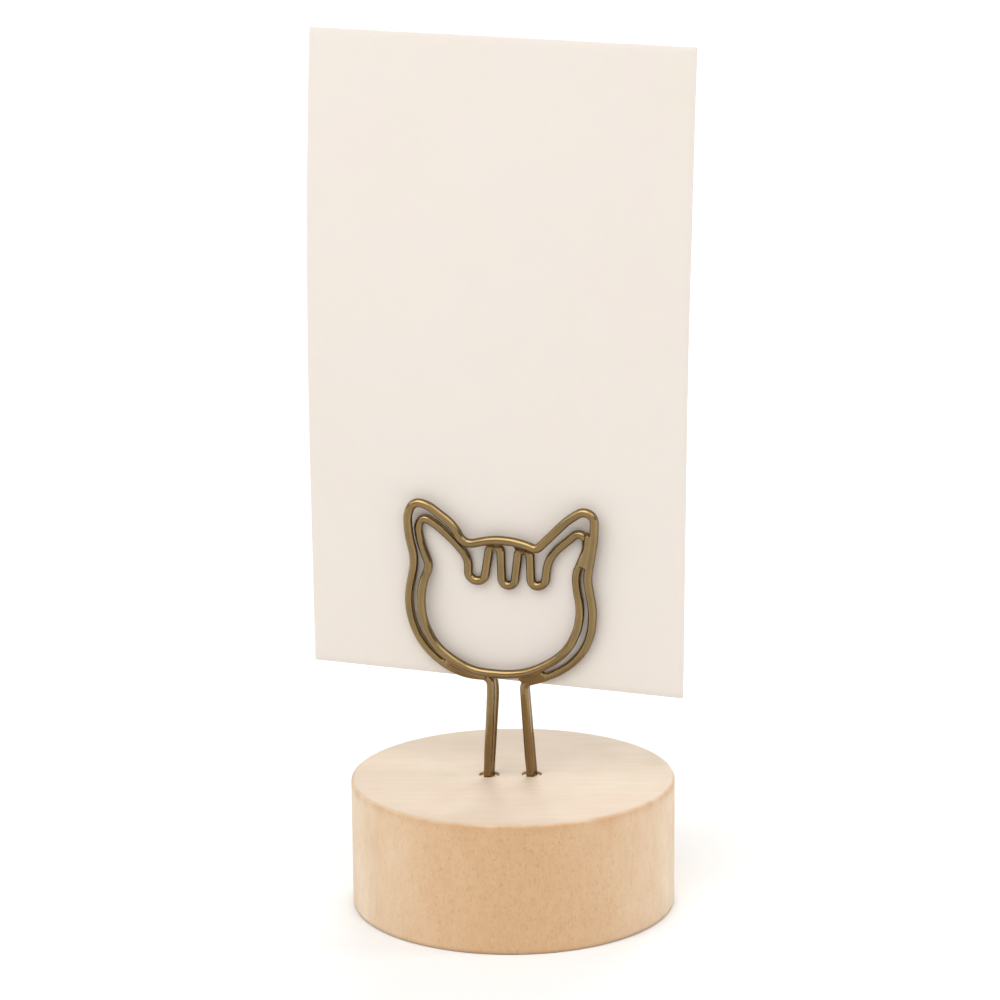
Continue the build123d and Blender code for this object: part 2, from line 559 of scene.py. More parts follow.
def pick_faces(piece, test):
    """In edit mode, select only the faces whose normal and middle pass a test."""
    shape = bmesh.from_edit_mesh(piece.data)
    for face in shape.faces:
        face.select = test(face.normal, face.calc_center_median())
    shape.select_flush_mode()
    bmesh.update_edit_mesh(piece.data)


def close_edit(merge=0.0, outwards=False):
    """Leave edit mode, merging doubles and turning the faces outwards first if asked."""
    bpy.ops.mesh.select_all(action="SELECT")
    if merge:
        bpy.ops.mesh.remove_doubles(threshold=merge)
    if outwards:
        bpy.ops.mesh.normals_make_consistent(inside=False)
    bpy.ops.mesh.select_all(action="DESELECT")
    bpy.ops.object.mode_set(mode="OBJECT")


def apply_modifiers(piece):
    """Apply every modifier on a piece, in order."""
    select_only(piece)
    for modifier in list(piece.modifiers):
        bpy.ops.object.modifier_apply(modifier=modifier.name)


def roughen(piece, name, scale, strength, group="", level=EVEN_LEVEL):
    """Move a piece's surface a little, as hand work leaves it.

    It moves only inwards with a level of 1, both ways with 0.5, and only outwards below 0.
    """
    texture = bpy.data.textures.new(name, "CLOUDS")
    texture.noise_scale = scale
    texture.noise_depth = 2
    displace = piece.modifiers.new(name, "DISPLACE")
    displace.texture = texture
    displace.texture_coords = "LOCAL"
    displace.strength = strength
    displace.mid_level = level
    displace.vertex_group = group


def clip_point(across, up, forward):
    """A point on the clip's leaning plane, in the frame: across it, up it and towards the viewer."""
    lean_up = Vector((0, -math.sin(CLIP_LEAN), math.cos(CLIP_LEAN)))
    foot = Vector((-CLIP_OFFSET, 0, block_height))
    return foot + Vector((across, 0, 0)) + lean_up * up + Vector(CLIP_FRONT) * forward


def hole_mouth(side):
    """The middle of one hole's mouth, with side -1 on the left and 1 on the right."""
    reach = side * HOLE_SPACING / 2
    across = reach * math.cos(HOLE_TWIST) - CLIP_OFFSET
    return Vector((across, reach * math.sin(HOLE_TWIST), block_height))


class Finish:
    """A node material, built from its shader back, with noise scales in waves per metre."""

    def __init__(self, name):
        self.material = bpy.data.materials.new(name)
        self.material.use_nodes = True
        self.tree = self.material.node_tree
        self.shader = self.tree.nodes["Principled BSDF"]
        self.place = self.node("ShaderNodeTexCoord").outputs["Object"]

    def node(self, kind, settings=None, inputs=None):
        """Add a node, set its settings, and set or link its inputs."""
        made = self.tree.nodes.new(kind)
        for key, value in (settings or {}).items():
            setattr(made, key, value)
        for key, value in (inputs or {}).items():
            if isinstance(value, bpy.types.NodeSocket):
                self.tree.links.new(value, made.inputs[key])
            else:
                made.inputs[key].default_value = value
        return made

    def mapped(self, scale=(1, 1, 1), turn=(0, 0, 0), shift=(0, 0, 0), source=None):
        """The place, shifted, turned and stretched."""
        inputs = {"Vector": source or self.place, "Location": shift, "Rotation": turn, "Scale": scale}
        return self.node("ShaderNodeMapping", None, inputs).outputs["Vector"]

    def noise(self, vector, scale, detail=3.0, roughness=0.5):
        """Smooth noise from 0 to 1."""
        inputs = {"Vector": vector, "Scale": scale, "Detail": detail, "Roughness": roughness}
        return self.node("ShaderNodeTexNoise", None, inputs).outputs["Fac"]

    def warp(self, vector, scale, amount):
        """A place pushed about by soft noise."""
        noise = self.node("ShaderNodeTexNoise", None, {"Vector": vector, "Scale": scale, "Detail": 2.0})
        settings = {"operation": "MULTIPLY_ADD"}
        inputs = {0: noise.outputs["Color"], 1: (amount,) * 3, 2: vector}
        return self.node("ShaderNodeVectorMath", settings, inputs).outputs["Vector"]

    def math(self, operation, first, second=0.0, clamp=False):
        """One sum."""
        settings = {"operation": operation, "use_clamp": clamp}
        return self.node("ShaderNodeMath", settings, {0: first, 1: second}).outputs[0]

    def between(self, value, low, high, start=0.0, end=1.0):
        """A value carried from one span to another, held at both ends."""
        inputs = {
            "Value": value,
            "From Min": low,
            "From Max": high,
            "To Min": start,
            "To Max": end,
        }
        return self.node("ShaderNodeMapRange", {"clamp": True}, inputs).outputs["Result"]

    def mix(self, share, first, second, blend="MIX"):
        """Two colours mixed by a share."""
        settings = {"data_type": "RGBA", "blend_type": blend}
        mixed = self.node("ShaderNodeMix", settings)
        for socket, value in zip((0, 6, 7), (share, first, second)):
            if isinstance(value, bpy.types.NodeSocket):
                self.tree.links.new(value, mixed.inputs[socket])
            elif socket:
                mixed.inputs[socket].default_value = (*value, 1)
            else:
                mixed.inputs[socket].default_value = value
        return mixed.outputs[2]

    def bump(self, height, strength, distance, below=None):
        """A bumped normal, over another one if given."""
        inputs = {"Height": height, "Strength": strength, "Distance": distance}
        if below is not None:
            inputs["Normal"] = below
        return self.node("ShaderNodeBump", None, inputs).outputs["Normal"]

    def set(self, **values):
        """Set or link the shader's own sockets, named with underscores for spaces."""
        for name, value in values.items():
            socket = self.shader.inputs[name.replace("_", " ")]
            if isinstance(value, bpy.types.NodeSocket):
                self.tree.links.new(value, socket)
            else:
                socket.default_value = value

    def put_on(self, piece):
        """Give a piece this finish alone."""
        piece.data.materials.clear()
        piece.data.materials.append(self.material)


def tint(colour, red=1.0, green=1.0, blue=1.0):
    """A colour with its three parts scaled."""
    return (colour[0] * red, colour[1] * green, colour[2] * blue)


def wood_finish(colours):
    """Pale close-grained wood: streaks across the flat faces, fine upright grain round the side,
    painted shade where the side faces the front and painted light towards its flanks, and a painted
    contact shadow at the foot.
    """
    wood = Finish("pale_wood")
    normal = wood.node("ShaderNodeTexCoord").outputs["Normal"]
    upright = wood.node("ShaderNodeSeparateXYZ", None, {0: normal}).outputs["Z"]
    flat = wood.between(wood.math("ABSOLUTE", upright), 0.72, 0.97)
    height = wood.node("ShaderNodeSeparateXYZ", None, {0: wood.place}).outputs["Z"]
    settings = {"operation": "DOT_PRODUCT"}
    facing = wood.node("ShaderNodeVectorMath", settings, {0: normal, 1: SHADED_HEART_SIDE}).outputs["Value"]
    shaded_heart = wood.between(wood.math("ABSOLUTE", facing), 0.35, 1.0)
    along = wood.mapped(turn=(0, 0, -HEART_AZIMUTH))
    bent = wood.warp(along, 60.0, 1.2 * MM)
    streaks = wood.noise(wood.mapped(scale=(0.09, 1, 1), source=bent), 1000.0, 4.0, 0.65)
    fibres = wood.noise(wood.mapped(scale=(1, 1, 0.06)), 2900.0, 2.0, 0.6)
    pores = wood.noise(wood.mapped(scale=(1, 1, 0.45)), 4300.0, 3.0, 0.7)
    mottle = wood.noise(wood.mapped(scale=(1, 1, 0.55)), 1150.0, 4.0, 0.7)
    clouds = wood.noise(wood.mapped(scale=(1, 1, 0.6)), 190.0, 3.0, 0.55)
    warmth = wood.noise(wood.mapped(shift=(0.3, 0.1, 0.2)), 95.0, 2.0, 0.5)
    top = wood.mix(
        wood.between(warmth, 0.35, 0.65),
        tint(colours.top_grain, 1.015, 0.985, 0.985),
        tint(colours.top_grain, 0.985, 1.005, 0.985),
    )
    top = wood.mix(
        wood.math("MULTIPLY", wood.between(streaks, 0.45, 0.75), 0.24),
        top,
        tint(colours.lit_flank_grain, 0.97, 0.92, 0.86),
    )
    # Painted shade where the side faces the front and painted light towards its flanks, over the
    # grain's own brown and pale
    side = wood.mix(shaded_heart, colours.lit_flank_grain, colours.shaded_heart_grain)
    side = wood.mix(
        wood.math("MULTIPLY", wood.between(clouds, 0.35, 0.7), 0.35),
        side,
        tint(colours.shaded_heart_grain, 0.97, 0.93, 0.90),
    )
    mottle_share = wood.math("MULTIPLY", wood.between(mottle, 0.42, 0.62), 0.28)
    side = wood.mix(mottle_share, side, MOTTLE_STAIN, "MULTIPLY")
    fibre_share = wood.math("MULTIPLY", wood.between(fibres, 0.45, 0.75), 0.13)
    side = wood.mix(fibre_share, side, FIBRE_STAIN, "MULTIPLY")
    pore_share = wood.between(pores, 0.54, 0.72)
    pore_share = wood.math("MULTIPLY", pore_share, wood.math("ADD", shaded_heart, 0.3))
    pore_share = wood.math("MULTIPLY", pore_share, 0.42)
    side = wood.mix(pore_share, side, PORE_STAIN, "MULTIPLY")
    band = wood.math("MULTIPLY", wood.between(height, *RIM_DARKENING), 0.45)
    band = wood.math("MULTIPLY", band, wood.between(clouds, 0.3, 0.6))
    side = wood.mix(band, side, tint(colours.shaded_heart_grain, 0.88, 0.80, 0.72))
    # Painted contact shadow along the foot, where the block meets the floor
    side = wood.mix(
        wood.between(height, *FOOT_PAINTED_SHADOW, 0.0, 0.5),
        side,
        tint(colours.shaded_heart_grain, 0.6, 0.55, 0.5),
    )
    wood.set(Base_Color=wood.mix(flat, side, top))
    wood.set(Roughness=wood.between(clouds, 0.2, 0.8, 0.58, 0.70), Specular_IOR_Level=0.4)
    grain = wood.bump(fibres, 0.25, 0.04 * MM)
    wood.set(Normal=wood.bump(pores, 0.25, 0.04 * MM, grain))
    return wood


def brass_finish(colours):
    """Lacquered brass wire, with painted shade on its front and back, and more on its flanks and
    underside.
    """
    brass = Finish("aged_brass")
    normal = brass.node("ShaderNodeTexCoord").outputs["Normal"]
    settings = {"operation": "DOT_PRODUCT"}
    facing = brass.node("ShaderNodeVectorMath", settings, {0: normal, 1: CLIP_FRONT}).outputs["Value"]
    facing = brass.math("ABSOLUTE", facing)
    flank = brass.between(facing, 0.60, 0.12)
    crown = brass.between(facing, 0.80, 0.98)
    upright = brass.node("ShaderNodeSeparateXYZ", None, {0: normal}).outputs["Z"]
    under = brass.between(upright, -0.15, -0.80)
    tarnish = brass.noise(brass.place, 260.0, 3.0, 0.6)
    fine = brass.noise(brass.place, 1900.0, 2.0, 0.5)
    colour = brass.mix(
        brass.between(tarnish, 0.35, 0.65),
        tint(colours.brass, 1.08, 1.05, 1.0),
        tint(colours.brass, 0.86, 0.87, 0.86),
    )
    # Painted shade: the crown facing front and back, the underside and the flanks are darkened by which
    # way they face
    for share, most, painted_shade in (
        (crown, 0.45, CROWN_PAINTED_SHADE),
        (under, 0.45, UNDERSIDE_PAINTED_SHADE),
        (flank, 0.75, FLANK_PAINTED_SHADE),
    ):
        colour = brass.mix(brass.math("MULTIPLY", share, most), colour, painted_shade, "MULTIPLY")
    brass.set(Base_Color=colour, Metallic=1.0)
    brass.set(Specular_Tint=(0.6, 0.5, 0.4, 1))
    brass.set(Roughness=brass.between(fine, 0.3, 0.7, 0.17, 0.25))
    brass.set(Coat_Weight=1.0, Coat_Roughness=0.16)
    brass.set(Normal=brass.bump(fine, 0.06, 0.02 * MM))
    return brass


def card_finish(colours):
    """Uncoated card: faint mottling and fine fibres."""
    card = Finish("card_stock")
    mottle = card.noise(card.place, 190.0, 3.0, 0.55)
    cloud = card.noise(card.mapped(shift=(0.2, 0.3, 0.1)), 60.0, 2.0, 0.5)
    fibres = card.noise(card.mapped(scale=(1, 1, 0.4)), 3200.0, 3.0, 0.65)
    colour = card.mix(
        card.between(mottle, 0.35, 0.65),
        tint(colours.card, 1.0, 0.985, 1.0),
        tint(colours.card, 1.0, 1.005, 0.97),
    )
    colour = card.mix(card.between(cloud, 0.35, 0.7), colour, colours.card)
    fibre_share = card.math("MULTIPLY", card.between(fibres, 0.55, 0.8), 0.10)
    colour = card.mix(fibre_share, colour, tint(colours.card, 0.85, 0.82, 0.78))
    card.set(Base_Color=colour, Roughness=0.92, Specular_IOR_Level=0.25)
    card.set(Normal=card.bump(fibres, 0.15, 0.03 * MM))
    return card


def glue_finish(colours):
    """Set glue: amber, with small bubbles."""
    glue = Finish("set_glue")
    bubbles = glue.noise(glue.place, 2600.0, 2.0, 0.5)
    colour = glue.mix(
        glue.between(bubbles, 0.4, 0.7),
        colours.glue,
        tint(colours.glue, 1.25, 1.3, 1.4),
    )
    glue.set(Base_Color=colour, Roughness=0.5)
    glue.set(Normal=glue.bump(bubbles, 0.3, 0.05 * MM))
    return glue


def floor_finish(colours):
    """A pale matt floor, painted with shade near the block, which dims the light it throws back."""
    floor = Finish("pale_floor")
    settings = {"operation": "LENGTH"}
    away = floor.node("ShaderNodeVectorMath", settings, {0: floor.place}).outputs["Value"]
    tone = floor.noise(floor.place, 14.0, 2.0, 0.5)
    # Painted shade: the floor is darker near the block, paling to its own colour further out
    near = tint(colours.floor, 0.80, 0.80, 0.80)
    colour = floor.mix(floor.between(away, 0.10, 0.60), near, colours.floor)
    colour = floor.mix(floor.between(tone, 0.3, 0.7, 0.0, 0.02), colour, near)
    floor.set(Base_Color=colour, Roughness=0.9, Specular_IOR_Level=0.0)
    return floor


def half_section(sizes):
    """The block's half section as a line in the XZ plane, with both rims rounded."""
    bpy.ops.mesh.primitive_plane_add(
        size=1,
        location=(block_radius / 2, 0, block_height / 2),
        rotation=(math.pi / 2, 0, 0),
    )
    block = new_piece("turned_block")
    bpy.ops.transform.resize(value=(block_radius, 1, block_height))
    place(block)
    edit(block)
    for rim, rounding, steps in (
        (block_height, sizes.rim_rounding, TOP_RIM_STEPS),
        (0, sizes.foot_rounding, FOOT_RIM_STEPS),
    ):
        pick_vertices(block, lambda co: co.x > block_radius - NEAR and abs(co.z - rim) < NEAR)
        bpy.ops.mesh.bevel(offset=rounding, segments=steps, affect="VERTICES")
    bpy.ops.mesh.select_all(action="SELECT")
    bpy.ops.mesh.delete(type="ONLY_FACE")
    pick_edges(block, lambda co: co.x < NEAR)
    bpy.ops.mesh.delete(type="EDGE")
    for test, length in (
        (lambda co: co.z > block_height - NEAR, block_radius),
        (lambda co: co.x > block_radius - NEAR, block_height),
        (lambda co: co.z < NEAR, block_radius),
    ):
        pick_edges(block, test)
        bpy.ops.mesh.subdivide(number_cuts=round(length / SECTION_ROW))
    return block


def nick_rim(block):
    """Press small nicks into the block's top rim."""
    edit(block)
    for angle, below, width, depth in RIM_NICKS:
        outwards = Vector((math.cos(angle), math.sin(angle), 0))
        spot = outwards * block_radius + Vector((0, 0, block_height - below))
        shape = bmesh.from_edit_mesh(block.data)
        nearest = min(shape.verts, key=lambda vertex: (vertex.co - spot).length)
        middle = nearest.co.copy()
        pick_vertices(block, lambda co: (co - middle).length < SAME_VERTEX)
        bpy.ops.transform.translate(
            value=-(outwards + Vector((0, 0, 1))).normalized() * depth,
            use_proportional_edit=True,
            proportional_edit_falloff="SHARP",
            proportional_size=width,
        )
    close_edit()


def drill(sizes, side):
    """The drill's shape in one hole, with the worn edge at the mouth."""
    radius = sizes.hole_diameter / 2
    mouth = hole_mouth(side)
    shank = sizes.hole_depth - sizes.hole_break
    bpy.ops.mesh.primitive_cylinder_add(
        vertices=DRILL_SIDES,
        radius=radius,
        depth=shank,
        location=(mouth.x, mouth.y, mouth.z - sizes.hole_break - shank / 2),
    )
    bit = new_piece("drill_bit")
    place(bit)
    edit(bit, "FACE")
    pick_faces(bit, lambda normal, middle: normal.z < -END_FACING)
    point_height = radius / math.tan(DRILL_POINT)
    bpy.ops.mesh.extrude_region_move(TRANSFORM_OT_translate={"value": (0, 0, -point_height)})
    bpy.ops.mesh.merge(type="CENTER")
    bpy.ops.mesh.select_mode(type="FACE")
    pick_faces(bit, lambda normal, middle: normal.z > END_FACING)
    bpy.ops.mesh.extrude_region_move(TRANSFORM_OT_translate={"value": (0, 0, sizes.hole_break)})
    wider = (radius + sizes.hole_break) / radius
    bpy.ops.transform.resize(value=(wider, wider, 1), center_override=mouth)
    bpy.ops.mesh.extrude_region_move(TRANSFORM_OT_translate={"value": (0, 0, sizes.hole_break)})
    close_edit(merge=MERGE, outwards=True)
    return bit


def cut(piece, tool):
    """Cut a tool's shape out of a piece and remove the tool."""
    difference = piece.modifiers.new("cut", "BOOLEAN")
    difference.operation = "DIFFERENCE"
    difference.solver = "EXACT"
    difference.object = tool
    apply_modifiers(piece)
    bpy.data.objects.remove(tool)


def rounded_bends(corners, end_radius=None):
    """For each inner corner, where its arc begins and ends, each with the handle towards the arc.

    The first and the last bend have a radius of their own if one is given.
    """
    bends = []
    for index in range(1, len(corners) - 1):
        before, corner, after = corners[index - 1:index + 2]
        back = (before - corner).normalized()
        ahead = (after - corner).normalized()
        turn = math.pi - back.angle(ahead)
        run = BEND_SHARE * min((before - corner).length, (after - corner).length)
        if end_radius and index in (1, len(corners) - 2):
            run = end_radius * math.tan(turn / 2)
        handle = ARC_HANDLE_SHARE * math.tan(turn / 4) * run / math.tan(turn / 2)
        enter = corner + back * run
        leave = corner + ahead * run
        bends.append((enter, enter - back * handle, leave, leave - ahead * handle))
    return bends


def head_corners(sizes, shares, front):
    """The places of a table's corners, on the card's front or rear side."""
    near = sizes.card_thickness / 2 + CARD_GRIP_CLEARANCE + sizes.wire_diameter / 2
    return [
        clip_point(
            across * HEAD_WIDTH,
            HEAD_BOTTOM + height * HEAD_HEIGHT,
            front * (near + layer * LAYER_STEP),
        )
        for across, height, layer in shares
    ]


def leg_end(side, front, height):
    """A point on one leg, at a height above the block's top."""
    return hole_mouth(side) + Vector((0, -front * LEG_STANCE, height))


def wire_line(name, bends, ends, radius, end_share=1.0):
    """A line of straight runs and arcs, round in section, made a mesh: closed if it has no ends."""
    bpy.ops.curve.primitive_bezier_curve_add()
    wire = new_piece(name)
    line = wire.data
    spline = line.splines[0]
    spline.bezier_points.add(2 * len(bends) + len(ends) - len(spline.bezier_points))
    points = list(spline.bezier_points)
    for point in points:
        point.handle_left_type = "VECTOR"
        point.handle_right_type = "VECTOR"
    if ends:
        points[0].co, points[-1].co = ends
        points[0].radius = points[-1].radius = end_share
        points = points[1:-1]
    for index, (enter, enter_handle, leave, leave_handle) in enumerate(bends):
        points[2 * index].co = enter
        points[2 * index + 1].co = leave
        points[2 * index].handle_right_type = "FREE"
        points[2 * index].handle_right = enter_handle
        points[2 * index + 1].handle_left_type = "FREE"
        points[2 * index + 1].handle_left = leave_handle
    spline.use_cyclic_u = not ends
    line.dimensions = "3D"
    line.resolution_u = WIRE_ARC_STEPS
    line.bevel_depth = radius
    line.bevel_resolution = WIRE_ROUND_STEPS
    line.use_fill_caps = True
    select_only(wire)
    bpy.ops.object.convert(target="MESH")
    edit(wire)
    close_edit(merge=MERGE, outwards=True)
    return wire


def wire_clip(name, sizes, shares, front):
    """One wire, from the end of its left leg round the head to the end of its right leg."""
    left = [leg_end(-1, front, height) for height in (-LEG_DEPTH, LEG_BEND_HEIGHT)]
    right = [leg_end(1, front, height) for height in (LEG_BEND_HEIGHT, -LEG_DEPTH)]
    corners = left + head_corners(sizes, shares, front) + right
    bends = rounded_bends(corners, LEG_BEND_RADIUS)
    return wire_line(name, bends, (corners[0], corners[-1]), sizes.wire_diameter / 2)


def wire_ring(name, sizes, shares):
    """The closed ring of wire inside the front wire."""
    corners = head_corners(sizes, shares, 1)
    bends = rounded_bends(corners[-1:] + corners + corners[:1])
    return wire_line(name, bends, (), sizes.wire_diameter / 2)


def solder_bead(sizes, radius, shares):
    """A bead of solder along the seam of the front wire and the ring."""
    corners = head_corners(sizes, shares, 1)
    ends = (corners[0], corners[-1])
    return wire_line("solder", rounded_bends(corners), ends, radius, BEAD_END_SHARE)


def distance_to_line(point, corners):
    """How far a point is from a line of straight runs."""
    distances = []
    for start, end in zip(corners, corners[1:]):
        run = end - start
        share = min(1.0, max(0.0, (point - start).dot(run) / run.length_squared))
        distances.append((point - start - run * share).length)
    return min(distances)


def soften(piece, iterations, group=""):
    """Smooth a piece, or only the part of it that is in a group."""
    smooth = piece.modifiers.new("smooth_creases", "SMOOTH")
    smooth.factor = 0.5
    smooth.iterations = iterations
    smooth.vertex_group = group


def melt_together(piece, others, seams):
    """Join pieces into one skin and let it flow together along the seams, most of all near them."""
    select_only(piece)
    for other in others:
        other.select_set(True)
    bpy.ops.object.join()
    skin = piece.modifiers.new("one_skin", "REMESH")
    skin.mode = "VOXEL"
    skin.voxel_size = SKIN_GRID
    soften(piece, SKIN_SMOOTHING)
    apply_modifiers(piece)
    flow = piece.vertex_groups.new(name="flow")
    for vertex in piece.data.vertices:
        away = min(distance_to_line(vertex.co, corners) for corners in seams)
        if away < FLOW_REACH:
            flow.add([vertex.index], min(1.0, 2 - 2 * away / FLOW_REACH), "REPLACE")
    soften(piece, FLOW_SMOOTHING, "flow")
    thin = piece.modifiers.new("fewer_faces", "DECIMATE")
    thin.ratio = SKIN_KEEP_SHARE
    apply_modifiers(piece)


def mark_head(wire):
    """Put a wire's head in a group of its own, which fades out towards the legs."""
    head = wire.vertex_groups.new(name="head")
    for vertex in wire.data.vertices:
        above = vertex.co.z - block_height - SWELLING_START
        share = above / (SWELLING_END - SWELLING_START)
        head.add([vertex.index], min(1.0, max(0.0, share)), "REPLACE")


def flat_card(sizes):
    """The card as a fine grid lying flat, with its lower edge on the X axis."""
    bpy.ops.mesh.primitive_grid_add(
        x_subdivisions=CARD_COLUMNS,
        y_subdivisions=CARD_ROWS,
        size=1,
        location=(0, sizes.card_height / 2, 0),
    )
    card = new_piece("card")
    bpy.ops.transform.resize(value=(sizes.card_width, sizes.card_height, 1))
    place(card)
    return card


def curl_card(card, sizes):
    """Curl the card's top back, more on the left than on the right."""
    curl = card.vertex_groups.new(name="curl")
    loose = card.vertex_groups.new(name="loose")
    start = sizes.card_height * sizes.curl_start_share
    most = max(sizes.left_curl, sizes.right_curl)
    for vertex in card.data.vertices:
        side_share = vertex.co.x / sizes.card_width + 0.5
        depth = sizes.left_curl + (sizes.right_curl - sizes.left_curl) * side_share
        rise_share = max(0.0, (vertex.co.y - start) / (sizes.card_height - start))
        curl.add([vertex.index], depth / most * rise_share ** 2, "REPLACE")
        loose.add([vertex.index], min(1.0, rise_share * 2), "REPLACE")
    bend = card.modifiers.new("curl", "DISPLACE")
    bend.direction = "Z"
    bend.mid_level = 0.0
    bend.strength = -most
    bend.vertex_group = "curl"
    roughen(card, "card_waviness", CARD_WAVE_LENGTH, CARD_WAVE_DEPTH, "loose")


def card_place(sizes):
    """Where the flat card stands: askew on the clip's leaning plane."""
    origin = clip_point(-sizes.card_offset, sizes.card_bottom, 0)
    turn = Matrix.Rotation(math.pi / 2 + CLIP_LEAN, 4, "X") @ Matrix.Rotation(-sizes.card_roll, 4, "Z")
    return Matrix.Translation(origin) @ turn


class PHOTOBLOCK_OT_block(bpy.types.Operator):
    """Turn the wooden block, nick its rim and drill its two holes"""

    bl_idname = "photoblock.block"
    bl_label = "Wooden Block"

    def execute(self, context):
        sizes = context.scene.photo_block_sizes
        block = half_section(sizes)
        bpy.ops.mesh.select_all(action="SELECT")
        bpy.ops.mesh.spin(
            steps=sizes.turning_steps,
            angle=2 * math.pi,
            center=(0, 0, 0),
            axis=(0, 0, 1),
            use_auto_merge=True,
        )
        close_edit(merge=MERGE, outwards=True)
        roughen(block, "sanding", SANDING_GRAIN, SANDING_DEPTH, level=1.0)
        apply_modifiers(block)
        nick_rim(block)
        for side in (-1, 1):
            cut(block, drill(sizes, side))
        select_only(block)
        bpy.ops.object.shade_smooth_by_angle(angle=BLOCK_SHARP_ANGLE)
        wood_finish(context.scene.photo_block_colours).put_on(block)
        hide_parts("wooden_block")
        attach(block, "holder")
        return {"FINISHED"}


class PHOTOBLOCK_OT_wires(bpy.types.Operator):
    """Bend the front and the rear wire"""

    bl_idname = "photoblock.wires"
    bl_label = "Brass Wires"

    def execute(self, context):
        sizes = context.scene.photo_block_sizes
        brass = brass_finish(context.scene.photo_block_colours)
        front = wire_clip("front_wire", sizes, FRONT_CORNER_SHARES, 1)
        ring = wire_ring("front_ring", sizes, RING_CORNER_SHARES)
        beads = [solder_bead(sizes, *bead) for bead in SOLDER_BEADS]
        seams = [head_corners(sizes, shares, 1) for radius, shares in SOLDER_BEADS]
        melt_together(front, [ring, *beads], seams)
        rear = wire_clip("rear_wire", sizes, REAR_CORNER_SHARES, -1)
        mark_head(front)
        for wire, group, level in ((front, "head", SWELLING_LEVEL), (rear, "", EVEN_LEVEL)):
            name = wire.name + "_bending_marks"
            roughen(wire, name, BENDING_MARK_SIZE, BENDING_MARK_DEPTH, group, level)
            apply_modifiers(wire)
            bpy.ops.object.shade_smooth_by_angle(angle=WIRE_SHARP_ANGLE)
            brass.put_on(wire)
        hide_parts("front_wire_clip", "front_inner_ring")
        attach(front, "front_clip")
        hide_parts("rear_wire_clip")
        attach(rear, "rear_clip")
        return {"FINISHED"}


class PHOTOBLOCK_OT_card(bpy.types.Operator):
    """Cut the card, curl its top back and stand it in the clip"""

    bl_idname = "photoblock.card"
    bl_label = "Blank Card"

    def execute(self, context):
        sizes = context.scene.photo_block_sizes
        card = flat_card(sizes)
        curl_card(card, sizes)
        thickness = card.modifiers.new("thickness", "SOLIDIFY")
        thickness.thickness = sizes.card_thickness
        thickness.offset = 0
        edge = card.modifiers.new("cut_edge", "BEVEL")
        edge.width = CARD_EDGE_BEVEL
        edge.segments = CARD_EDGE_STEPS
        edge.angle_limit = CARD_EDGE_ANGLE
        apply_modifiers(card)
        card.matrix_world = card_place(sizes)
        place(card)
        bpy.ops.object.shade_smooth_by_angle(angle=CARD_SHARP_ANGLE)
        card_finish(context.scene.photo_block_colours).put_on(card)
        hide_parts("display_card")
        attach(card, "card")
        return {"FINISHED"}


class PHOTOBLOCK_OT_glue(bpy.types.Operator):
    """Give the set glue in the two holes its finish"""

    bl_idname = "photoblock.glue"
    bl_label = "Set Glue"

    def execute(self, context):
        glue = glue_finish(context.scene.photo_block_colours)
        for node in ("left_glue_plug", "right_glue_plug"):
            glue.put_on(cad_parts[node])
        return {"FINISHED"}


class PHOTOBLOCK_OT_stage(bpy.types.Operator):
    """Lay the pale floor, and set the studio light and the camera"""

    bl_idname = "photoblock.stage"
    bl_label = "Stage"

    def execute(self, context):
        bpy.ops.object.select_all(action="DESELECT")
        bpy.ops.mesh.primitive_circle_add(
            vertices=FLOOR_SIDES,
            radius=FLOOR_RADIUS,
            fill_type="NGON",
        )
        floor = new_piece("studio_floor")
        floor_finish(context.scene.photo_block_colours).put_on(floor)
        light_studio(context.scene)
        set_camera(context.scene)
        return {"FINISHED"}


def light_studio(scene):
    """A pale sky, brighter overhead and with soft lights in it, and three softboxes."""
    world = bpy.data.worlds.new("pale_sky")
    world.use_nodes = True
    tree = world.node_tree
    sky = tree.nodes["Background"]
    direction = tree.nodes.new("ShaderNodeTexCoord").outputs["Generated"]

    def towards(side, low, high, start, end):
        """A brightness that grows smoothly towards one side of the sky."""
        share = tree.nodes.new("ShaderNodeVectorMath")
        share.operation = "DOT_PRODUCT"
        tree.links.new(direction, share.inputs[0])
        share.inputs[1].default_value = side
        ramp = tree.nodes.new("ShaderNodeMapRange")
        ramp.interpolation_type = "SMOOTHSTEP"
        tree.links.new(share.outputs["Value"], ramp.inputs["Value"])
        for name, number in (("From Min", low), ("From Max", high), ("To Min", start), ("To Max", end)):
            ramp.inputs[name].default_value = number
        return ramp.outputs["Result"]

    brightness = towards((0, 0, 1), SKY_LOW_RISE, 1.0, SKY_LOW, SKY_HIGH)
    for side, rim, full, strength in SKY_LIGHTS:
        both = tree.nodes.new("ShaderNodeMath")
        both.operation = "ADD"
        tree.links.new(brightness, both.inputs[0])
        tree.links.new(towards(side, rim, full, 0.0, strength), both.inputs[1])
        brightness = both.outputs[0]
    tree.links.new(brightness, sky.inputs["Strength"])
    sky.inputs["Color"].default_value = SKY_COLOUR
    scene.world = world
    for name, stand, (width, height), power in SOFTBOXES:
        bpy.ops.object.light_add(type="AREA", location=stand)
        box = new_piece(name)
        box.data.shape = "RECTANGLE"
        box.data.size = width
        box.data.size_y = height
        box.data.energy = power
        box.data.color = SOFTBOX_COLOUR
        box.rotation_euler = (LIGHT_AIM - Vector(stand)).to_track_quat("-Z", "Y").to_euler()


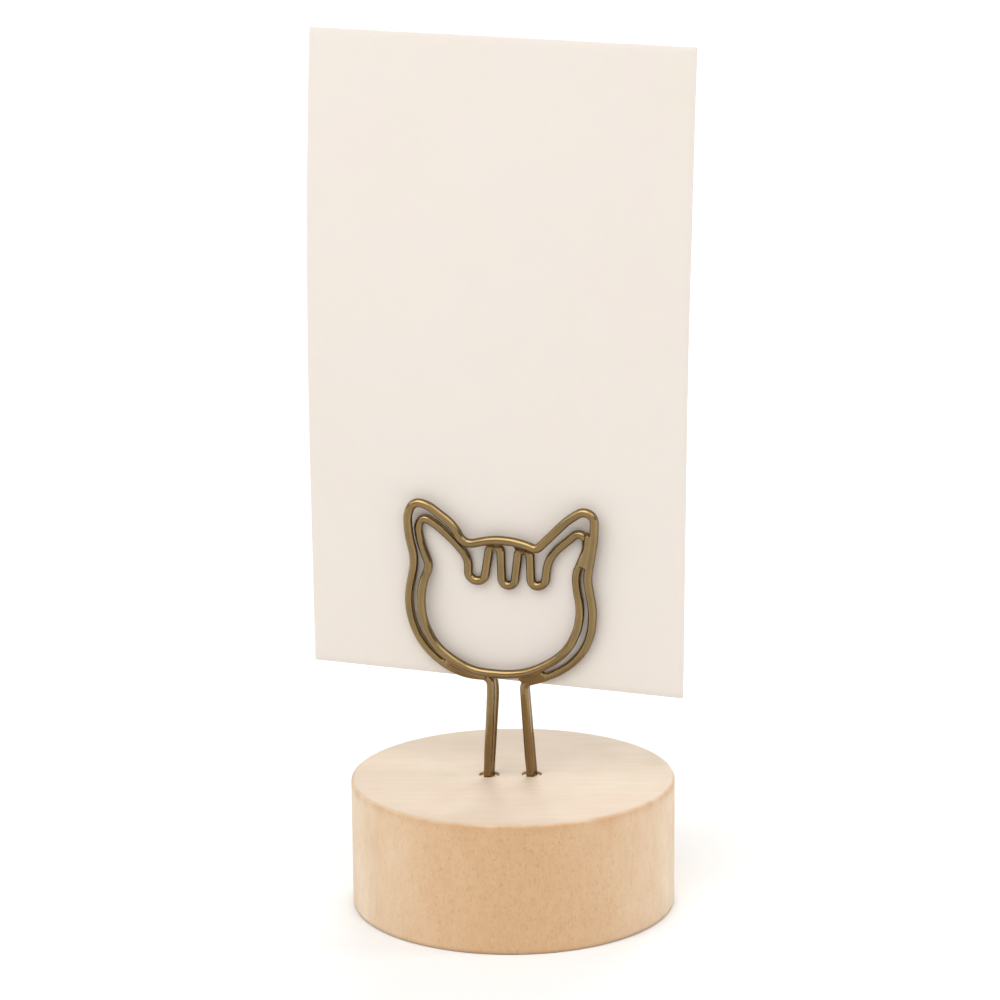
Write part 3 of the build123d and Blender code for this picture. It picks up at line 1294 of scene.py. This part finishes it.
def set_camera(scene):
    """The camera, at the photograph's viewing angle."""
    turn = (
        Matrix.Rotation(CAMERA_AZIMUTH, 4, "Z")
        @ Matrix.Rotation(math.pi / 2 - CAMERA_ELEVATION, 4, "X")
        @ Matrix.Rotation(CAMERA_ROLL, 4, "Z")
    )
    back = turn @ Vector((0, 0, CAMERA_DISTANCE))
    bpy.ops.object.camera_add(location=CAMERA_AIM + back, rotation=turn.to_euler())
    camera = new_piece("photo_camera")
    camera.data.lens = CAMERA_LENS
    camera.data.clip_start = CAMERA_NEAREST
    scene.camera = camera
    scene.view_settings.view_transform = "Standard"


STEPS = (
    PHOTOBLOCK_OT_block,
    PHOTOBLOCK_OT_wires,
    PHOTOBLOCK_OT_card,
    PHOTOBLOCK_OT_glue,
    PHOTOBLOCK_OT_stage,
)


class PHOTOBLOCK_PT_panel(bpy.types.Panel):
    """The sizes, colours and steps of the photo block"""

    bl_idname = "PHOTOBLOCK_PT_panel"
    bl_label = "Photo Block"
    bl_space_type = "VIEW_3D"
    bl_region_type = "UI"
    bl_category = "Photo Block"

    def draw(self, context):
        for group in (context.scene.photo_block_sizes, context.scene.photo_block_colours):
            column = self.layout.column()
            for key in group.__annotations__:
                column.prop(group, key)
        for step in STEPS:
            self.layout.operator(step.bl_idname)


CLASSES = (PhotoBlockSizes, PhotoBlockColours, *STEPS, PHOTOBLOCK_PT_panel)


def register():
    """Tell Blender about the classes, and keep the sizes and colours with the scene."""
    for cls in CLASSES:
        bpy.utils.register_class(cls)
    bpy.types.Scene.photo_block_sizes = PointerProperty(type=PhotoBlockSizes)
    bpy.types.Scene.photo_block_colours = PointerProperty(type=PhotoBlockColours)


def unregister():
    """Take back what register did."""
    del bpy.types.Scene.photo_block_colours
    del bpy.types.Scene.photo_block_sizes
    for cls in reversed(CLASSES):
        bpy.utils.unregister_class(cls)


def main():
    """Make the whole photo block on its stage."""
    register()
    bpy.ops.photoblock.block()
    bpy.ops.photoblock.wires()
    bpy.ops.photoblock.card()
    bpy.ops.photoblock.glue()
    bpy.ops.photoblock.stage()


if __name__ == "__main__":
    main()
